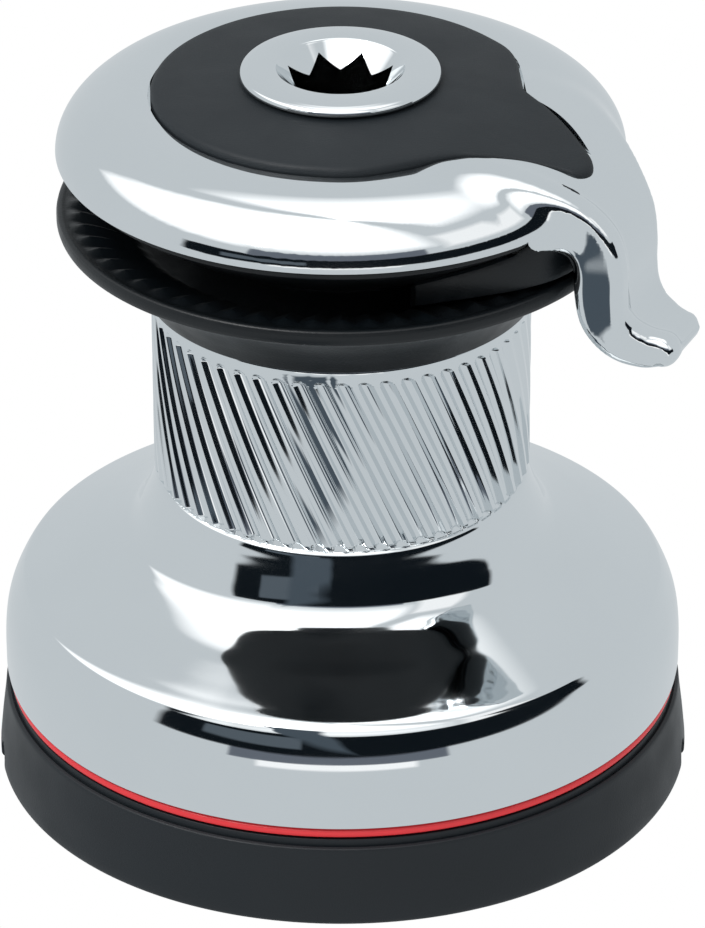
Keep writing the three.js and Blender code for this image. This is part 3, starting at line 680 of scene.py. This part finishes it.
def patch(name, azimuths, elevations, colour, strength, radius, soft=0.0, centre=(0, 0, 90)):
    """A glowing piece of a sphere, seen only in reflections. soft fades its edges over so many degrees."""
    across = np.linspace(*azimuths, 49)
    up = np.linspace(*elevations, 33)
    verts, fade = [], []
    for e in up:
        for a in across:
            level = radius * math.cos(e * DEG)
            x = centre[0] + level * math.cos(a * DEG)
            y = centre[1] + level * math.sin(a * DEG)
            verts.append((x, y, centre[2] + radius * math.sin(e * DEG)))
            edge = min(a - across[0], across[-1] - a, e - up[0], up[-1] - e)
            fade.append(min(1.0, edge / soft) if soft else 1.0)
    count = len(across)
    faces = [(j * count + i, j * count + i + 1, (j + 1) * count + i + 1, (j + 1) * count + i)
             for j in range(len(up) - 1) for i in range(count - 1)]
    made = plain_mesh(name, verts, faces)
    made.data.attributes.new("fade", "FLOAT", "POINT").data.foreach_set("value", fade)
    material = bpy.data.materials.new(name)
    material.use_nodes = True
    tree = material.node_tree
    tree.nodes.remove(tree.nodes["Principled BSDF"])
    glow = add_node(tree, "ShaderNodeEmission", Color=linear(colour), Strength=strength)
    clear = add_node(tree, "ShaderNodeBsdfTransparent")
    amount = add_node(tree, "ShaderNodeAttribute", {"attribute_name": "fade"})
    mixed = add_node(tree, "ShaderNodeMixShader")
    tree.links.new(amount.outputs["Fac"], mixed.inputs[0])
    tree.links.new(clear.outputs["BSDF"], mixed.inputs[1])
    tree.links.new(glow.outputs["Emission"], mixed.inputs[2])
    tree.links.new(mixed.outputs["Shader"], tree.nodes["Material Output"].inputs["Surface"])
    made.data.materials.append(material)
    made.visible_camera = False
    made.visible_shadow = False
    made.visible_diffuse = False
    made.visible_transmission = False


def area_light(name, centre, aim, size, power):
    """A soft light."""
    data = bpy.data.lights.new(name, "AREA")
    data.shape = "RECTANGLE"
    data.size, data.size_y = size[0] * MM, size[1] * MM
    data.energy = power
    made = bpy.data.objects.new(name, data)
    made.location = Vector(centre) * MM
    direction = Vector(aim) - Vector(centre)
    made.rotation_euler = direction.to_track_quat("-Z", "Y").to_euler()
    bpy.context.scene.collection.objects.link(made)


def studio():
    """A pale studio. The chrome's bands are patches of light and dark round the object."""
    world = bpy.data.worlds.new("studio")
    world.use_nodes = True
    world.node_tree.nodes["Background"].inputs["Color"].default_value = (1, 1, 1, 1)
    world.node_tree.nodes["Background"].inputs["Strength"].default_value = 1.0
    bpy.context.scene.world = world
    bpy.context.scene.view_settings.view_transform = "Standard"
    area_light("key", (-500, -500, 900), (0, 0, 90), (500, 500), 6)
    patch("pale_room", (-180, 180), (-90, 90), "D2D7DA", 1.0, 2600)
    patch("white_left", (-215, -128), (26, 70), "FFFFFF", 1.4, 2200, 8)
    patch("white_right", (-50, -16), (20, 50), "FFFFFF", 1.1, 2200, 6)
    patch("white_overhead", (-215, -48), (26, 124), "FFFFFF", 1.5, 2000, 11)
    patch("white_table", (-118, -66), (-8, 9), "FFFFFF", 1.15, 2000, 2)
    patch("cap_grey", (-127, -56), (0, 27), "6A707A", 1.0, 1900, 1.5)
    patch("dark_band", (-150, -6), (9, 26), "10161B", 1.0, 450, 1, (0, 0, 40))
    patch("grey_figure", (-134, -102), (14, 21), "59626A", 1.0, 440, 1, (0, 0, 40))
    patch("arm_shade", (-157, -128), (-48, -20), "4C565F", 1.0, 120, 4, (58, -45, 137))


def main():
    """Builds the camera, the studio and the smooth pieces, and gives every other node its finish."""
    camera()
    studio()
    chromed = chrome()
    nylon = black_nylon()
    base_skirt(base_plastic())
    drum(chromed)
    trim_ring(red_plastic())
    lower_jaw(nylon)
    upper_jaw(nylon)
    rope_guide(nylon)
    stripper_arm(chromed)
    arm_cover(black_cover())
    handle_socket(chromed)
    finishes = {
        "steel": turned_metal("turned_stainless_steel", "B9BCBE", (0.22, 0.34)),
        "bronze": turned_metal("machined_bronze", "A9834A", (0.28, 0.42)),
        "aluminium": turned_metal("anodised_aluminium", "8E9194", (0.4, 0.55)),
        "bearing_plastic": white_acetal(),
    }
    slots = {entry["node"]: entry["material_slot"] for entry in frame["record"]["subparts"]}
    for name, node in frame["nodes"].items():
        finish = finishes.get(slots[name])
        if finish:
            node.data.materials.clear()
            node.data.materials.append(finish)


main()
